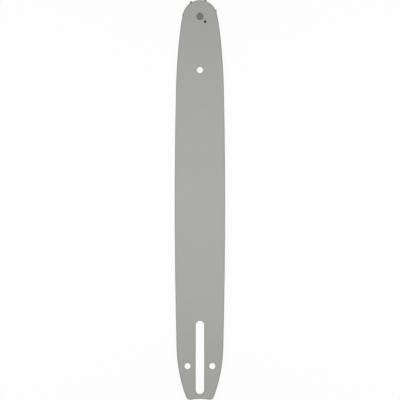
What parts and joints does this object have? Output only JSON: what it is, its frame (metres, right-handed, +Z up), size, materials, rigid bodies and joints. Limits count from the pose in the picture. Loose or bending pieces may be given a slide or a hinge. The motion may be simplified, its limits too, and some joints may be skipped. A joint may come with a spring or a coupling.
{
  "type": "chainsaw guide bar",
  "caption": "Flat laminated steel guide bar with a chain groove round its edge, a stud slot and pin holes at the tail, and a riveted sprocket that turns on rollers in its round nose.",
  "frame": {"origin": "middle of the stud slot, on the underside of the bar", "axes": "+Y along the bar from the tail to the nose, +Z up through its thickness as it lies flat, +X across it"},
  "size_m": [0.05, 0.397, 0.0037],
  "materials": {
    "plate_paint": "warm light grey paint, matte, thin enough for the plate's grain to show",
    "core_steel": "rolled steel with a film of oil",
    "sprocket_steel": "hardened steel, dark, with fine grinding marks on its faces",
    "bearing_steel": "ground bearing steel, with dark grease on its ends",
    "rivet_steel": "dark steel, spun smooth by the riveting tool"
  },
  "bodies": {
    "bar": {"side_plate_back": "plate_paint", "core_plate": "core_steel", "side_plate_front": "plate_paint", "bearing_race": "bearing_steel", "nose_rivet": "rivet_steel"},
    "sprocket": {"nose_sprocket": "sprocket_steel"},
    "rollers": {"roller_01": "bearing_steel", "roller_02": "bearing_steel", "roller_03": "bearing_steel", "roller_04": "bearing_steel", "roller_05": "bearing_steel", "roller_06": "bearing_steel", "roller_07": "bearing_steel", "roller_08": "bearing_steel", "roller_09": "bearing_steel", "roller_10": "bearing_steel", "roller_11": "bearing_steel", "roller_12": "bearing_steel", "roller_13": "bearing_steel", "roller_14": "bearing_steel", "roller_15": "bearing_steel", "roller_16": "bearing_steel", "roller_17": "bearing_steel", "roller_18": "bearing_steel"}
  },
  "joints": [
    {"name": "sprocket_spin", "type": "hinge", "parent": "bar", "child": "sprocket", "pos_m": [0, 0.3382, 0.00185], "axis": [0, 0, 1], "continuous": true},
    {"name": "roller_orbit", "type": "hinge", "parent": "bar", "child": "rollers", "pos_m": [0, 0.3382, 0.00185], "axis": [0, 0, 1], "continuous": true}
  ],
  "couplings": [
    {"joint": "roller_orbit", "follows": "sprocket_spin", "ratio": 0.5878}
  ]
}
